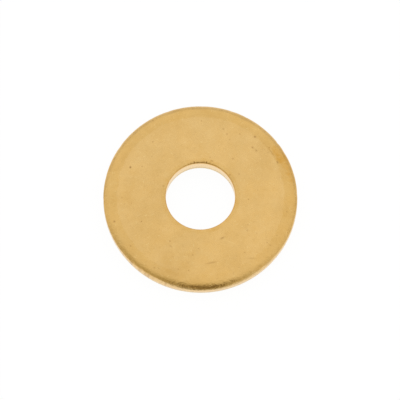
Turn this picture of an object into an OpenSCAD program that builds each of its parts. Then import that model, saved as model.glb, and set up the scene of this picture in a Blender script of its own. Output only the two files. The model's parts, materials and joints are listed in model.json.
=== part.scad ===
// Fender washer: a wide flat ring with a small hole, blanked and pierced from brass strip in one stroke.
// It lies with its torn side down. The axis of the hole is Z, and the underside is at Z = 0.
// Both edges of the top face are rolled over, because the blanking die and the piercing punch
// both worked on that side. Under each roll is a straight burnished land, and under the land
// the metal tore away and falls back towards the underside.

/* [Ring] */
// Outside diameter over the burnished land
outer_d = 18; // [16:0.5:24]
// Diameter of the hole at its burnished land
hole_d = 6.4; // [5.3:0.1:8.4]
// Thickness of the strip
thickness = 1.6; // [1.4:0.1:2.5]

/* [Rolled edges of the top face] */
// Reach of the rim's roll, in from the rim
rim_roll_w = 1.05; // [0.8:0.05:1.4]
// Drop of the rim's roll, down from the top face
rim_roll_drop = 0.6; // [0.4:0.05:0.7]
// Radius of the shoulder where the rim's roll turns into the land
rim_shoulder_r = 0.15; // [0.05:0.05:0.3]
// Radius of the small roll at the mouth of the hole
hole_roll_r = 0.25; // [0.1:0.05:0.5]

/* [Torn zones of the underside] */
// Height of the torn zone round the rim
rim_tear_h = 0.5; // [0.3:0.05:0.7]
// How far the torn zone round the rim falls back at the underside
rim_tear_back = 0.1; // [0.04:0.02:0.2]
// Height of the torn zone in the hole
hole_tear_h = 0.6; // [0.3:0.05:0.8]
// How far the torn zone in the hole falls back at the underside
hole_tear_back = 0.04; // [0.02:0.02:0.2]
// Radius that tumbling left on the edges of the underside
tumble_r = 0.08; // [0.04:0.02:0.14]

/* [Hidden] */

rim_r = outer_d / 2;
hole_r = hole_d / 2;
// Radius of the rim's roll on its wide stretch: it leaves the top face level at rim_roll_w from the
// rim, and meets the shoulder's arc with the same slope
rim_roll_r = (pow(rim_roll_w - rim_shoulder_r, 2) + pow(rim_roll_drop, 2) - pow(rim_shoulder_r, 2))
    / (2 * (rim_roll_drop - rim_shoulder_r));
// Slope at which the wide stretch ends and the shoulder begins, in degrees from level
rim_roll_slope = atan2(rim_roll_w - rim_shoulder_r, rim_roll_r - rim_roll_drop);

// Slice of a disc of radius r about the origin, up to a quarter of it, between two angles that count
// clockwise from the top of the disc
module slice(r, first, last) {
    middle = (first + last) / 2;
    intersection() {
        circle(r, $fn = 144);
        polygon([
            [0, 0],
            2 * r * [sin(first), cos(first)],
            2 * r * [sin(middle), cos(middle)],
            2 * r * [sin(last), cos(last)]
        ]);
    }
}

// What the rim's roll takes off a square corner at the origin, with the metal to its lower left
module rim_roll_waste() {
    roll_centre = [-rim_roll_w, -rim_roll_r];
    shoulder_centre = [-rim_shoulder_r, -rim_roll_drop];
    difference() {
        polygon([[-rim_roll_w, 0], [0, 0], [0, -rim_roll_drop], shoulder_centre, roll_centre]);
        translate(roll_centre) slice(rim_roll_r, 0, rim_roll_slope);
        translate(shoulder_centre) slice(rim_shoulder_r, rim_roll_slope, 90);
    }
}

// What the roll at the mouth of the hole takes off a square corner at the origin
module hole_roll_waste() {
    difference() {
        translate([-hole_roll_r, -hole_roll_r]) square(hole_roll_r);
        translate([-hole_roll_r, -hole_roll_r]) slice(hole_roll_r, 0, 90);
    }
}

// What tearing and tumbling take off the lower corner of a straight wall at the origin, with the
// metal to its upper left: a thin wedge, and the corner below it rounded to tumble_r
module tear_waste(tear_h, tear_back) {
    lean = atan2(tear_back, tear_h);
    reach = tumble_r / tan((90 + lean) / 2);
    polygon([[0, 0], [0, tear_h], [-tear_back, 0]]);
    translate([-tear_back, 0]) difference() {
        polygon([[0, 0], reach * [sin(lean), cos(lean)], [-reach, tumble_r], [-reach, 0]]);
        translate([-reach, tumble_r]) slice(tumble_r, 90 + lean, 180);
    }
}

// Half of the washer's section, from the hole's wall to the rim
module section() {
    difference() {
        translate([hole_r, 0]) square([rim_r - hole_r, thickness]);
        translate([rim_r, thickness]) rim_roll_waste();
        translate([rim_r, 0]) tear_waste(rim_tear_h, rim_tear_back);
        translate([hole_r, thickness]) mirror([1, 0]) hole_roll_waste();
        translate([hole_r, 0]) mirror([1, 0]) tear_waste(hole_tear_h, hole_tear_back);
    }
}

module washer() {
    color("#dcb572") rotate_extrude($fn = 180) section();
}

washer();
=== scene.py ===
"""Fender washer: a flat ring of tumbled brass, lying on a pale floor under soft studio light."""
import json
import math

import bpy
import numpy as np
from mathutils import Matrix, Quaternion, Vector


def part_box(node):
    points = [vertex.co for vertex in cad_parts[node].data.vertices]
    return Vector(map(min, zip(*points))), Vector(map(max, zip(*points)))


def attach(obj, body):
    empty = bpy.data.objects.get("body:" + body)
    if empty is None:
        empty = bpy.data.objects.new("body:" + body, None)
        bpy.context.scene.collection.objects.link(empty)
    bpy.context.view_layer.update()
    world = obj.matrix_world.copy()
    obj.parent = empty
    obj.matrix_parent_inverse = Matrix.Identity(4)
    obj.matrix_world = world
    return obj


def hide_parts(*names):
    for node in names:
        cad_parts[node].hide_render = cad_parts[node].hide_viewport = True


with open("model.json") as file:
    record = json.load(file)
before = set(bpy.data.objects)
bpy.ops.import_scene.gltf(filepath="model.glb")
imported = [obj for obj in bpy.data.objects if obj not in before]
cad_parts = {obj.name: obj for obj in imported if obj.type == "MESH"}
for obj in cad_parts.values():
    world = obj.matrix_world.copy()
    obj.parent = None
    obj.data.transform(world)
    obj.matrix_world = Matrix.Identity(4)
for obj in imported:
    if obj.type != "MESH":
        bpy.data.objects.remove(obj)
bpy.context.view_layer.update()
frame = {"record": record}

# Camera. The photograph looks down on the washer at about 72 degrees through a long lens, so that the
# ellipses of the rim and the hole are nearly alike. Its frame is square, 400 by 400 pixels.
camera_tilt = math.radians(71.8)  # above the horizon
camera_roll = math.radians(1.2)  # clockwise, as the viewer sees the picture turn
camera_reach = 0.42  # metres from the washer
frame_width = 0.03711  # metres across the frame at the washer
aim = Vector((-0.00003, -0.00014, 0.0008))

camera = bpy.data.objects.new("camera", bpy.data.cameras.new("camera"))
bpy.context.scene.collection.objects.link(camera)
back = Vector((0.0, -math.cos(camera_tilt), math.sin(camera_tilt)))
camera.location = aim + camera_reach * back
camera.rotation_mode = "QUATERNION"
camera.rotation_quaternion = Quaternion(back, camera_roll) @ (-back).to_track_quat("-Z", "Y")
camera.data.sensor_width = 36.0
camera.data.lens = camera.data.sensor_width * camera_reach / frame_width
bpy.context.scene.camera = camera

# Washer. One ring of half-hard brass, blanked and pierced in one stroke, so both edges of its top
# face are rolled over, with a burnished land and then a torn zone under each roll. It was tumbled
# with thousands of others, which dulled its faces and left small dings on them.
mm = 0.001
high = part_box("washer")[1]
bore = next(mount for mount in frame["record"]["mounts"] if mount["name"] == "bore")
rim_r = high.x / mm
hole_r = bore["dims"]["r_mm"]
thickness = high.z / mm
halfway_r = 6.0  # between the two edges: what lies outside it belongs to the rim
steps_round = 640
angle = np.linspace(0, 2 * np.pi, steps_round, endpoint=False)
chance = np.random.default_rng(7)


def waver(slowest, fastest):
    """Smooth variation round the ring between -1 and 1: cosines with each whole number of waves from the
    slowest to the fastest, with random phases and shares, divided by the largest value of their sum."""
    waves = np.arange(slowest, fastest + 1)[:, None]
    share = chance.uniform(0.2, 1.0, waves.shape)
    phase = chance.uniform(0, 2 * np.pi, waves.shape)
    total = (share * np.cos(waves * angle + phase)).sum(axis=0)
    return total / np.abs(total).max()


def swell(middle, reach):
    """A smooth hump round the ring: 1 at the middle, and 1/e at reach to either side, in degrees."""
    away = (np.degrees(angle) - middle + 180) % 360 - 180
    return np.exp(-(away / reach) ** 2)


# The section's lengths in mm. The die's edge was worn unevenly: the rim's roll is deeper along the front
# and shallower at the left, and between the two its shoulder is wide.
rim_roll_w = 1.05 + 0.05 * waver(1, 14) + 0.1 * swell(-92, 20)
rim_roll_drop = 0.6 + 0.08 * swell(-108, 25) + 0.06 * swell(-52, 20) - 0.15 * swell(-163, 20)
rim_shoulder_r = 0.08 + 0.38 * swell(-119, 19)
hole_roll_r = 0.25
rim_tear_h = 0.5 + 0.06 * waver(2, 90)
rim_tear_back = 0.1
hole_tear_h = 0.6 + 0.06 * waver(2, 50)
hole_tear_back = 0.04
tumble_r = 0.08


def point(radius, height):
    """A point of the section, as its (radius, height) in mm at each step round the ring."""
    return np.stack(np.broadcast_arrays(radius, height, angle)[:2])


def arc(centre, size, first, last, steps):
    """Points on an arc: the centre plus size times (sine, cosine) of even angles from first up to last, in
    degrees clockwise from the top."""
    turn = np.radians(first + (last - first) * np.linspace(0, 1, steps, endpoint=False)[:, None])
    return centre[:, None] + size * np.stack([np.sin(turn), np.cos(turn)])


def line(start, end, steps):
    """Even points on the straight from start up to end."""
    share = np.linspace(0, 1, steps, endpoint=False)[:, None]
    return (1 - share) * start[:, None] + share * end[:, None]


def torn_corner(foot, tear_h, tear_back, side):
    """The torn wall's lean in degrees, the centre of the tumbled corner under it, and the point where the
    two meet. Side is 1 on the rim and -1 in the hole; foot is the wall's radius at the underside."""
    lean = np.degrees(np.arctan2(tear_back, tear_h))
    reach = tumble_r / np.tan(np.radians(90 + lean) / 2)
    end = point(foot + side * reach * np.sin(np.radians(lean)), reach * np.cos(np.radians(lean)))
    return lean, point(foot - side * reach, tumble_r), end


# The rim's roll is two arcs that share a slope: a wide one that leaves the face level, and a tight
# shoulder. Their centres lie in line with the point where they meet, so Pythagoras gives the wide arc's
# radius.
roll_r = (rim_roll_w - rim_shoulder_r) ** 2 + rim_roll_drop ** 2 - rim_shoulder_r ** 2
roll_r /= 2 * (rim_roll_drop - rim_shoulder_r)
roll_turn = np.degrees(np.arctan2(rim_roll_w - rim_shoulder_r, roll_r - rim_roll_drop))
roll_start = rim_r - rim_roll_w
rim_shoulder = point(rim_r - rim_shoulder_r, thickness - rim_roll_drop)
hole_roll = point(hole_r + hole_roll_r, thickness - hole_roll_r)
rim_foot = rim_r - rim_tear_back
hole_foot = hole_r + hole_tear_back
rim_lean, rim_corner, rim_tear_end = torn_corner(rim_foot, rim_tear_h, rim_tear_back, 1)
hole_lean, hole_corner, hole_tear_end = torn_corner(hole_foot, hole_tear_h, hole_tear_back, -1)
# From the mouth of the hole outwards and round; the last number of each stretch is its count of steps
stretches = [
    ("face", line(point(hole_r + hole_roll_r, thickness), point(roll_start, thickness), 58)),
    ("rim roll", arc(point(roll_start, thickness - roll_r), roll_r, 0, roll_turn, 27)),
    ("rim roll", arc(rim_shoulder, rim_shoulder_r, roll_turn, 90, 10)),
    ("land", line(point(rim_r, thickness - rim_roll_drop), point(rim_r, rim_tear_h), 6)),
    ("tear", line(point(rim_r, rim_tear_h), rim_tear_end, 11)),
    ("corner", arc(rim_corner, tumble_r, 90 + rim_lean, 180, 4)),
    ("underside", line(point(rim_corner[0], 0), point(hole_corner[0], 0), 14)),
    ("corner", arc(hole_corner, tumble_r, 180, 270 - hole_lean, 4)),
    ("tear", line(hole_tear_end, point(hole_r, hole_tear_h), 7)),
    ("land", line(point(hole_r, hole_tear_h), point(hole_r, thickness - hole_roll_r), 4)),
    ("hole roll", arc(hole_roll, hole_roll_r, 270, 360, 10)),
]
radius, height = np.concatenate([points for kind, points in stretches], axis=1)
kinds = np.concatenate([np.full(points.shape[1], kind) for kind, points in stretches])[:, None]

# Depth of the surface below its smooth form, in mm. The torn zones are rough, with streaks that run down.
# The dings are round dents of random size, and the nicks are those that show on the rim.
along_section = np.stack([np.roll(radius, -1, axis=0) - np.roll(radius, 1, axis=0),
                          np.roll(height, -1, axis=0) - np.roll(height, 1, axis=0)])
along_section /= np.linalg.norm(along_section, axis=0)
x, y = radius * np.cos(angle), radius * np.sin(angle)
torn_share = np.concatenate([
    (kind == "tear") * np.sin(np.pi * np.linspace(0, 1, points.shape[1], endpoint=False))
    for kind, points in stretches
])[:, None]
streaks = np.abs(waver(60, 210) + 0.6 * np.roll(waver(60, 210), 5) * np.sin(9 * height))
streak_depth = 0.02
depth = streak_depth * torn_share ** 0.5 * streaks
top_side = np.flatnonzero(np.isin(kinds[:, 0], ["face", "rim roll"]))
dings = 170
ding_depth = 0.07  # as a share of the ding's size
places = (chance.choice(top_side, dings), chance.integers(0, steps_round, dings))
for at, size in zip(zip(*places), chance.uniform(0.08, 0.28, dings)):
    away = (x - x[at]) ** 2 + (y - y[at]) ** 2 + (height - height[at]) ** 2
    depth += ding_depth * size * np.exp(-away / size ** 2)
nicks = [  # place on the rim in degrees, height, size and depth
    (-48, 1.05, 0.13, 0.06), (-116, 1.2, 0.1, 0.05), (-126, 1.25, 0.1, 0.06),
    (-133, 1.25, 0.1, 0.06), (-139, 1.2, 0.09, 0.05), (38, 1.0, 0.15, 0.03),
]
for turn, level, size, deep in nicks:
    nick_x, nick_y = rim_r * math.cos(math.radians(turn)), rim_r * math.sin(math.radians(turn))
    away = (x - nick_x) ** 2 + (y - nick_y) ** 2 + (height - level) ** 2
    depth += deep * np.exp(-away / size ** 2)
# A long shallow bruise on the shoulder at the front left
bruise_level, bruise_reach = 1.1, 0.22
bruise = 0.07 * swell(-120, 18) * np.exp(-((height - bruise_level) / bruise_reach) ** 2)
depth += bruise * (radius > halfway_r)
# Inwards is the direction along the section, turned a quarter turn clockwise
radius = radius + depth * along_section[1]
height = height - depth * along_section[0]
points = np.stack([radius * np.cos(angle), radius * np.sin(angle), height], axis=2) * mm


def ring_mesh(name, points):
    """A mesh over a grid of points that closes on itself both ways: each quad joins a point to the next one
    along the section and the next one round, with its face outwards."""
    along, around = points.shape[:2]
    number = np.arange(along * around).reshape(along, around)
    next_along = np.roll(number, -1, axis=0)
    next_around = np.roll(number, -1, axis=1)
    both = np.roll(next_along, -1, axis=1)
    quads = np.stack([number, next_along, both, next_around], axis=2).reshape(-1, 4)
    mesh = bpy.data.meshes.new(name)
    mesh.vertices.add(along * around)
    mesh.vertices.foreach_set("co", points.reshape(-1))
    mesh.loops.add(quads.size)
    mesh.loops.foreach_set("vertex_index", quads.reshape(-1))
    mesh.polygons.add(len(quads))
    mesh.polygons.foreach_set("loop_start", np.arange(0, quads.size, 4))
    mesh.polygons.foreach_set("use_smooth", np.ones(len(quads), dtype=bool))
    mesh.update(calc_edges=True)
    mesh.validate()
    return mesh


def smooth_step(value, first, last):
    """0 up to first and 1 from last, with a smooth rise between: 3 s squared minus 2 s cubed."""
    share = np.clip((value - first) / (last - first), 0, 1)
    return share * share * (3 - 2 * share)


def paint(mesh, name, values):
    """Stores one value for each vertex, for the material to read."""
    attribute = mesh.attributes.new(name, "FLOAT", "POINT")
    attribute.data.foreach_set("value", np.asarray(values, np.float32).reshape(-1))


# Where the tools rubbed the metal bright: the rim's roll and a little of the face beside it, and round the
# hole
near_hole = smooth_step(-radius, -hole_r - 0.75, -hole_r - 0.3)
burnished = smooth_step(radius, roll_start - 0.45, roll_start + 0.1) + 0.5 * near_hole
burnished = np.where(np.isin(kinds, ["face", "rim roll", "hole roll"]), burnished, 0)
# The rubbed metal is also yellower, but less so along the front, where all of the face is yellow
yellow = 1 - 0.7 * swell(-75, 40) * (radius > halfway_r)
# Where the tools cut the metal: the shoulder and the lands, up to the height in mm that the tools scraped,
# and the torn zones, which are duller. The material paints both paler, partly as a painted reflection of
# the bright floor.
rim_scraped = 1.15 + 0.08 * swell(-110, 16) + 0.05 * swell(-52, 20)
hole_scraped = thickness - 0.12
rim_land = 0.8 * smooth_step(rim_scraped - height, 0, 0.12)
hole_land = smooth_step(hole_scraped - height, 0, 0.08)
land = np.where(radius > halfway_r, rim_land, hole_land)
land = np.where(kinds == "underside", 0, land)
torn = np.broadcast_to(np.isin(kinds, ["tear", "corner"]), radius.shape)
# Dark marks on the top face, painted shade of small dents with a little dirt: x, y, length and width of
# each in mm, its turn in degrees and its strength. The last two are wide dull patches.
marks = [
    (-6.55, 2.65, 0.09, 0.07, 90, 1.0), (4.95, 5.9, 0.08, 0.07, 0, 0.9), (2.1, -4.05, 0.2, 0.05, 27, 0.7),
    (4.75, 4.85, 0.1, 0.07, -30, 0.6), (7.1, 3.45, 0.12, 0.06, 115, 0.6), (-7.9, -2.65, 0.1, 0.08, 0, 0.6),
    (5.1, 4.55, 0.1, 0.06, -40, 0.55), (1.2, -6.45, 0.45, 0.05, 12, 0.5), (2.35, 6.1, 0.07, 0.06, 0, 0.5),
    (2.0, 6.6, 0.08, 0.06, 0, 0.45), (-4.1, -7.05, 0.08, 0.07, 0, 0.45), (-3.45, 0.9, 0.08, 0.06, 0, 0.45),
    (2.95, 3.7, 0.08, 0.06, 0, 0.45), (1.0, 3.45, 0.12, 0.06, 160, 0.4), (4.2, -5.4, 0.08, 0.06, 0, 0.4),
    (-0.6, -5.75, 0.08, 0.06, 0, 0.4), (-6.35, -5.0, 0.08, 0.06, 0, 0.4), (6.55, -4.65, 0.08, 0.06, 0, 0.4),
    (6.5, 4.4, 0.5, 0.05, 126, 0.35), (-2.65, -4.95, 0.12, 0.06, -30, 0.35),
    (4.4, -3.25, 0.12, 0.05, 90, 0.35), (4.85, -5.95, 0.4, 0.05, 0, 0.3),
    (-2.9, -7.35, 1.4, 0.45, -22, 0.08), (-7.1, 3.3, 1.2, 0.5, 65, 0.07),
]
dirt_and_painted_shade = np.zeros_like(radius)
for mark_x, mark_y, length, width, turn, strength in marks:
    turn = math.radians(turn)
    lengthwise = (x - mark_x) * math.cos(turn) + (y - mark_y) * math.sin(turn)
    across = (y - mark_y) * math.cos(turn) - (x - mark_x) * math.sin(turn)
    dirt_and_painted_shade = np.maximum(dirt_and_painted_shade, strength * np.exp(-(lengthwise / length) ** 2 - (across / width) ** 2))
# Painted shade in fine grains, with some grime, on the steep part of the rim's roll: a random share at each
# point, seldom much, and along the bruise also lumps of 0.2 mm. A few smaller lumps of painted shade sit at
# the mouth of the hole, on its far side.
grime_and_painted_shade = 0.35 * chance.random(radius.shape) ** 5 * smooth_step(1.45 - height, 0, 0.15)
lumps = np.repeat(chance.random(steps_round // 2), 2) ** 3
grime_and_painted_shade += 0.35 * lumps * swell(-122, 25) * smooth_step(1.22 - height, 0, 0.1)
grime_and_painted_shade = np.where((kinds == "face") | (radius < halfway_r), 0, grime_and_painted_shade)
mouth_painted_shade = np.minimum(1.5 * lumps * swell(90, 14), 1) * smooth_step(height, 1.48, 1.54)
grime_and_painted_shade = np.where(kinds == "hole roll", mouth_painted_shade, grime_and_painted_shade)
dirt_and_painted_shade = np.maximum(dirt_and_painted_shade, grime_and_painted_shade) * np.isin(kinds, ["face", "rim roll", "hole roll", "land"])
# An orange tarnish: strong on the rim at the right, with weaker ends that keep to its edge, and in patches
# round the hole
inner_edge = 8.5 - 0.7 * swell(32, 20) + 0.2 * waver(8, 70)
rim_tarnish = 0.5 * swell(2, 28) + 0.75 * swell(29, 13) + 0.35 * swell(60, 14)
rim_tarnish = np.minimum(rim_tarnish, 0.95) * smooth_step(radius, inner_edge - 0.3, inner_edge + 0.3)
hole_tarnish = smooth_step(waver(3, 14), -0.3, 0.6) * near_hole
tarnish = np.where(radius > halfway_r, rim_tarnish, 0.55 * hole_tarnish)
# What the material reads at each vertex
painted = {
    "burnished": burnished, "yellow": yellow, "land": land, "torn": torn, "dirt_and_painted_shade": dirt_and_painted_shade, "tarnish": tarnish,
}


def linear(colour):
    """An sRGB hex colour as linear RGBA: each channel is ((c + 0.055) / 1.055) to the power 2.4, or
    c / 12.92 where it is dark."""
    c = np.array([int(colour[i:i + 2], 16) for i in (1, 3, 5)]) / 255
    return (*np.where(c > 0.04045, ((c + 0.055) / 1.055) ** 2.4, c / 12.92), 1.0)


def add_node(tree, kind, inputs=None, **settings):
    """Adds a node with its settings, fills its inputs with values or links them to other nodes' outputs,
    and returns its outputs."""
    node = tree.nodes.new(kind)
    for name, value in settings.items():
        setattr(node, name, value)
    for name, value in (inputs or {}).items():
        if isinstance(value, bpy.types.NodeSocket):
            tree.links.new(value, node.inputs[name])
        else:
            node.inputs[name].default_value = value
    return node.outputs


def tumbled_brass():
    """Brass strip, 70 percent copper, after tumbling. The flat face is dulled by a grey haze, mottled at
    every size and yellower towards the near side. The rolls are rubbed brighter and yellower, with an
    orange tarnish on parts of them. The cut walls are painted pale, partly for their scraped metal and
    partly as a painted reflection of the bright floor, and duller where they are torn. Dings of about 0.15
    mm break up what the metal mirrors. Pits, marks and scratches are darkened with painted shade and a
    little dirt, the steep part of the rolls with grains of painted shade, and the scratches' hollows are
    lightened as bare metal with painted glints."""
    material = bpy.data.materials.new("tumbled_brass")
    material.use_nodes = True
    tree = material.node_tree
    tree.nodes.clear()
    place = add_node(tree, "ShaderNodeTexCoord")["Object"]
    in_mm = add_node(tree, "ShaderNodeVectorMath", {0: place, "Scale": 1 / mm}, operation="SCALE")[0]
    share = {}
    for name in painted:
        share[name] = add_node(tree, "ShaderNodeAttribute", attribute_name=name)["Fac"]
    noise = {}
    for name, patch, detail, roughness in (  # patch is the width in mm of the largest patches
        ("haze", 4.0, 5.0, 0.78), ("tint", 2.6, 3.0, 0.8), ("edge", 0.8, 4.0, 0.6),
        ("tarnish", 0.5, 4.0, 0.7), ("rough", 0.8, 3.0, 0.5), ("ding", 0.16, 2.0, 0.5),
        ("wave", 0.5, 1.0, 0.5),
    ):
        noise[name] = add_node(tree, "ShaderNodeTexNoise", {
            "Vector": in_mm, "Scale": 1 / patch, "Detail": detail, "Roughness": roughness,
        })["Fac"]

    # Haze: all channels rise and fall together, and towards the near side the blue falls
    haze = add_node(tree, "ShaderNodeMapRange", {
        "Value": noise["haze"], "From Min": 0.35, "From Max": 0.65,
    })[0]
    colour = add_node(tree, "ShaderNodeMix", {"Factor": haze, 6: linear("#ddb775"), 7: linear("#e8c280")},
                      data_type="RGBA")[2]
    yellow_per_mm = (0.004, -0.012, 0.0)  # along X, Y and Z
    slant = add_node(tree, "ShaderNodeVectorMath", {0: in_mm, 1: yellow_per_mm},
                     operation="DOT_PRODUCT")["Value"]
    slant = add_node(tree, "ShaderNodeMath", {0: slant, 1: noise["tint"]}, operation="ADD")[0]
    slant = add_node(tree, "ShaderNodeMapRange", {"Value": slant, "From Min": 0.25, "From Max": 0.75})[0]
    colour = add_node(tree, "ShaderNodeMix", {"Factor": slant, 6: colour, 7: linear("#fdf7e8")},
                      data_type="RGBA", blend_type="MULTIPLY")[2]

    # Rolls: rubbed bright, with an edge that the noise breaks up
    edge = add_node(tree, "ShaderNodeMath", {0: noise["edge"], 1: 1.0, 2: share["burnished"]},
                    operation="MULTIPLY_ADD")[0]
    burnished = add_node(tree, "ShaderNodeMapRange", {"Value": edge, "From Min": 0.7, "From Max": 1.2},
                         interpolation_type="SMOOTHSTEP")[0]
    yellower = add_node(tree, "ShaderNodeMath", {0: burnished, 1: share["yellow"]}, operation="MULTIPLY")[0]
    colour = add_node(tree, "ShaderNodeMix", {"Factor": yellower, 6: colour, 7: linear("#faf7ec")},
                      data_type="RGBA", blend_type="MULTIPLY")[2]

    # Tarnish: thin, orange and patchy
    patchy = add_node(tree, "ShaderNodeMath", {0: noise["tarnish"], 1: 1.5, 2: share["tarnish"]},
                      operation="MULTIPLY_ADD")[0]
    patchy = add_node(tree, "ShaderNodeMapRange", {"Value": patchy, "From Min": 1.1, "From Max": 2.0},
                      interpolation_type="SMOOTHSTEP")[0]
    colour = add_node(tree, "ShaderNodeMix", {"Factor": patchy, 6: colour, 7: linear("#d29f4a")},
                      data_type="RGBA")[2]

    # Pits: one in each cell, of which two in ten are darkened with painted shade and a little dirt
    cell = 0.9  # its width in mm
    # The brown of the painted shade and dirt in pits, marks, grains and scratches
    shade_and_grime_brown = linear("#8a5a28")
    cells = add_node(tree, "ShaderNodeTexVoronoi", {"Vector": in_mm, "Scale": 1 / cell, "Randomness": 1.0},
                     voronoi_dimensions="2D")
    pit = add_node(tree, "ShaderNodeMapRange", {
        "Value": cells["Distance"], "From Min": 0.05, "From Max": 0.1, "To Min": 1.0, "To Max": 0.0,
    }, interpolation_type="SMOOTHSTEP")[0]
    chosen = add_node(tree, "ShaderNodeSeparateColor", {"Color": cells["Color"]})["Red"]
    chosen = add_node(tree, "ShaderNodeMapRange", {
        "Value": chosen, "From Min": 0.8, "From Max": 1.0, "To Max": 0.4,
    })[0]
    pit = add_node(tree, "ShaderNodeMath", {0: pit, 1: chosen}, operation="MULTIPLY")[0]
    colour = add_node(tree, "ShaderNodeMix", {"Factor": pit, 6: colour, 7: shade_and_grime_brown}, data_type="RGBA")[2]

    # Shoulders and lands, which the die and the punch scraped, and torn zones, painted paler: partly the
    # scraped metal and partly a painted reflection of the bright floor
    for name, paler_with_painted_reflection in (("land", "#f7d69f"), ("torn", "#e6cc98")):
        colour = add_node(tree, "ShaderNodeMix", {"Factor": share[name], 6: colour, 7: linear(paler_with_painted_reflection)},
                          data_type="RGBA")[2]

    # Scratches: the peaks of a noise 0.06 mm wide and 0.5 mm long, in three directions, are darkened with
    # painted shade and a little dirt, and its hollows are lightened as bare metal with painted glints. The
    # marks and the grains of painted shade go on together with the scratches' darkening.
    waves_per_mm = (2.0, 16.0, 2.0)
    dark = share["dirt_and_painted_shade"]
    bare_and_painted_glint = 0.0
    for turn in (25, 85, 145):
        lines = add_node(tree, "ShaderNodeVectorRotate", {"Vector": in_mm, "Angle": math.radians(turn)},
                         rotation_type="Z_AXIS")[0]
        lines = add_node(tree, "ShaderNodeVectorMath", {0: lines, 1: waves_per_mm},
                         operation="MULTIPLY")[0]
        lines = add_node(tree, "ShaderNodeTexNoise", {"Vector": lines, "Scale": 1.0, "Detail": 0.0})["Fac"]
        darkened_line = add_node(tree, "ShaderNodeMapRange", {
            "Value": lines, "From Min": 0.74, "From Max": 0.87, "To Max": 0.2,
        })[0]
        dark = add_node(tree, "ShaderNodeMath", {0: dark, 1: darkened_line}, operation="MAXIMUM")[0]
        clear = add_node(tree, "ShaderNodeMapRange", {
            "Value": lines, "From Min": 0.24, "From Max": 0.12, "To Max": 0.6,
        })[0]
        bare_and_painted_glint = add_node(tree, "ShaderNodeMath", {0: bare_and_painted_glint, 1: clear}, operation="MAXIMUM")[0]
    # Painted glints and bare metal along the scratches
    colour = add_node(tree, "ShaderNodeMix", {"Factor": bare_and_painted_glint, 6: colour, 7: linear("#f4d797")},
                      data_type="RGBA")[2]
    # Painted shade and dirt of the marks, the grains and the scratches
    colour = add_node(tree, "ShaderNodeMix", {"Factor": dark, 6: colour, 7: shade_and_grime_brown}, data_type="RGBA")[2]

    # Roughness: satin and uneven on the face, smooth on the rolls, satin on the lands and coarse in the
    # torn zones
    rough = add_node(tree, "ShaderNodeMapRange", {
        "Value": noise["rough"], "From Min": 0.3, "From Max": 0.7, "To Min": 0.22, "To Max": 0.3,
    })[0]
    for where, roughness in ((burnished, 0.13), (share["land"], 0.25), (share["torn"], 0.4)):
        rough = add_node(tree, "ShaderNodeMix", {"Factor": where, 2: rough, 3: roughness},
                         data_type="FLOAT")[0]

    # Small dings, deeper on the rolls than on the face, with waves of 0.5 mm under them
    face_ding, roll_ding = 0.009 * mm, 0.022 * mm
    dings = add_node(tree, "ShaderNodeMath", {0: noise["wave"], 1: 1.5, 2: noise["ding"]},
                     operation="MULTIPLY_ADD")[0]
    deep = add_node(tree, "ShaderNodeMapRange", {
        "Value": burnished, "To Min": face_ding, "To Max": roll_ding,
    })[0]
    normal = add_node(tree, "ShaderNodeBump", {"Height": dings, "Strength": 1.0, "Distance": deep})[0]
    metal = add_node(tree, "ShaderNodeBsdfPrincipled", {
        "Base Color": colour,
        "Metallic": 1.0,
        "Roughness": rough,
        "Normal": normal,
    })
    add_node(tree, "ShaderNodeOutputMaterial", {"Surface": metal["BSDF"]})
    return material


washer_mesh = ring_mesh("brass_washer", points)
for name, values in painted.items():
    paint(washer_mesh, name, values)
washer_mesh.materials.append(tumbled_brass())
washer = bpy.data.objects.new("brass_washer", washer_mesh)
bpy.context.scene.collection.objects.link(washer)
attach(washer, "root")
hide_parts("washer")

# Floor. A sheet of matt white acrylic, wide enough to fill the view. The camera and the metal see it nearly
# burnt out, as in the photograph, with a faint shadow of the washer. A ring is cut out of it where the
# washer hides it, so that the underside shows from below.
floor_r = 3.0  # metres
under_hole = 0.2  # mm by which the floor under the hole reaches past the hole's edge
under_rim = 0.3  # mm by which the floor outside reaches in under the rim
steps = np.arange(96)
turn = 2 * np.pi * steps / len(steps)
circle = np.stack([np.cos(turn), np.sin(turn), 0 * turn], axis=1)
cut = ((hole_r + under_hole) * mm, (rim_r - under_rim) * mm)  # its inner and outer radius
floor_corners = np.concatenate([size * circle for size in (*cut, floor_r)])
onward = np.roll(steps, -1)
outside = np.stack([steps, steps + len(steps), onward + len(steps), onward], axis=1) + len(steps)
floor_mesh = bpy.data.meshes.new("floor")
floor_mesh.from_pydata(floor_corners.tolist(), [], [steps.tolist(), *outside.tolist()])
floor = bpy.data.objects.new("floor", floor_mesh)
bpy.context.scene.collection.objects.link(floor)


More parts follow.
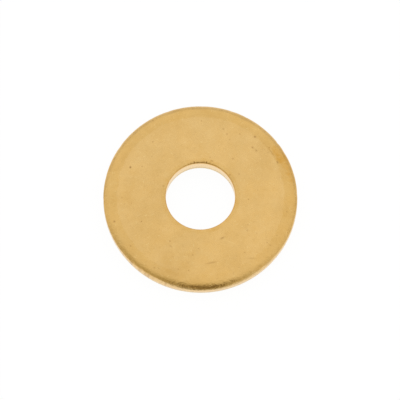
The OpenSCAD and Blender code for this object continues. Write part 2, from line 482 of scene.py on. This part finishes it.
def white_acrylic():
    """Matt white, with a glow that only the camera and the rays that are mirrored or let through can see.
    The metal mirrors it a little duller away from the washer, and much duller in a patch in front of it."""
    near, far = 0.011, 0.02  # metres from the middle of the washer
    dull_centre = (0.001, -0.045, 0.0)
    dull_reach = (0.022, 0.035, 1.0)
    burnt_out = 1.02  # the glow that the camera sees
    shine = 0.93  # the share of the glow in what is seen, against the matt surface with its shadow
    material = bpy.data.materials.new("white_acrylic")
    material.use_nodes = True
    tree = material.node_tree
    tree.nodes.clear()
    path = add_node(tree, "ShaderNodeLightPath")
    place = add_node(tree, "ShaderNodeTexCoord")["Object"]
    away = add_node(tree, "ShaderNodeVectorMath", {0: place}, operation="LENGTH")["Value"]
    glow = add_node(tree, "ShaderNodeMapRange", {
        "Value": away, "From Min": near, "From Max": far, "To Min": 1.0, "To Max": 0.8,
    }, interpolation_type="SMOOTHSTEP")[0]
    offset = add_node(tree, "ShaderNodeVectorMath", {0: place, 1: dull_centre}, operation="SUBTRACT")[0]
    offset = add_node(tree, "ShaderNodeVectorMath", {0: offset, 1: dull_reach}, operation="DIVIDE")[0]
    away = add_node(tree, "ShaderNodeVectorMath", {0: offset}, operation="LENGTH")["Value"]
    front = add_node(tree, "ShaderNodeMapRange", {
        "Value": away, "From Min": 0.3, "From Max": 1.0, "To Min": 0.4, "To Max": 1.0,
    }, interpolation_type="SMOOTHSTEP")[0]
    glow = add_node(tree, "ShaderNodeMath", {0: glow, 1: front}, operation="MULTIPLY")[0]
    glow = add_node(tree, "ShaderNodeMath", {0: path["Is Camera Ray"], 1: burnt_out, 2: glow},
                    operation="MULTIPLY_ADD")[0]
    glow = add_node(tree, "ShaderNodeMath", {0: glow, 1: burnt_out}, operation="MINIMUM")[0]
    seen = add_node(tree, "ShaderNodeMath", {0: path["Is Camera Ray"], 1: path["Is Glossy Ray"]},
                    operation="MAXIMUM")[0]
    seen = add_node(tree, "ShaderNodeMath", {0: seen, 1: path["Is Transmission Ray"]},
                    operation="MAXIMUM")[0]
    seen = add_node(tree, "ShaderNodeMath", {0: seen, 1: shine}, operation="MULTIPLY")[0]
    matt = add_node(tree, "ShaderNodeBsdfDiffuse", {"Color": linear("#f4f4f4")})[0]
    glow = add_node(tree, "ShaderNodeEmission", {"Color": linear("#ffffff"), "Strength": glow})[0]
    both = add_node(tree, "ShaderNodeMixShader", {0: seen, 1: matt, 2: glow})[0]
    add_node(tree, "ShaderNodeOutputMaterial", {"Surface": both})
    return material


floor_mesh.materials.append(white_acrylic())

# Studio. A white tent lit from outside: even light from above, behind and both sides, and in front, where
# the camera stands, a dimmer wall with a dark opening, which the near edge of the metal mirrors.
world = bpy.data.worlds.new("studio")
bpy.context.scene.world = world
world.use_nodes = True
tree = world.node_tree
tree.nodes.clear()
direction = add_node(tree, "ShaderNodeTexCoord")["Generated"]
tent = linear("#fbfbfb")
# Each patch of the tent: its centre and reach along X, Y and Z, the share of the reach where it starts to
# fade, and its colour
patches = [
    ((0.1, 1.0, 0.6), (1.3, 1.3, 0.6), 0.3, "#ffffff"),
    ((0.0, 1.0, 0.0), (1.3, 1.5, 0.3), 0.2, "#f0f0f0"),
    ((-0.3, -1.0, 0.25), (1.7, 1.5, 0.9), 0.3, "#cfcbb8"),
    ((0.075, -1.0, 0.35), (0.55, 1.5, 0.45), 0.1, "#82765c"),
]
for centre, reach, start, colour in patches:
    offset = add_node(tree, "ShaderNodeVectorMath", {0: direction, 1: centre}, operation="SUBTRACT")[0]
    offset = add_node(tree, "ShaderNodeVectorMath", {0: offset, 1: reach}, operation="DIVIDE")[0]
    away = add_node(tree, "ShaderNodeVectorMath", {0: offset}, operation="LENGTH")["Value"]
    patch = add_node(tree, "ShaderNodeMapRange", {
        "Value": away, "From Min": start, "From Max": 1.0, "To Min": 1.0, "To Max": 0.0,
    }, interpolation_type="SMOOTHSTEP")[0]
    tent = add_node(tree, "ShaderNodeMix", {"Factor": patch, 6: tent, 7: linear(colour)},
                    data_type="RGBA")[2]
camera_ray = add_node(tree, "ShaderNodeLightPath")["Is Camera Ray"]
tent = add_node(tree, "ShaderNodeMix", {"Factor": camera_ray, 6: tent, 7: linear("#ffffff")},
                data_type="RGBA")[2]
background = add_node(tree, "ShaderNodeBackground", {"Color": tent, "Strength": 1.0})[0]
add_node(tree, "ShaderNodeOutputWorld", {"Surface": background})
bpy.context.scene.view_settings.view_transform = "Standard"
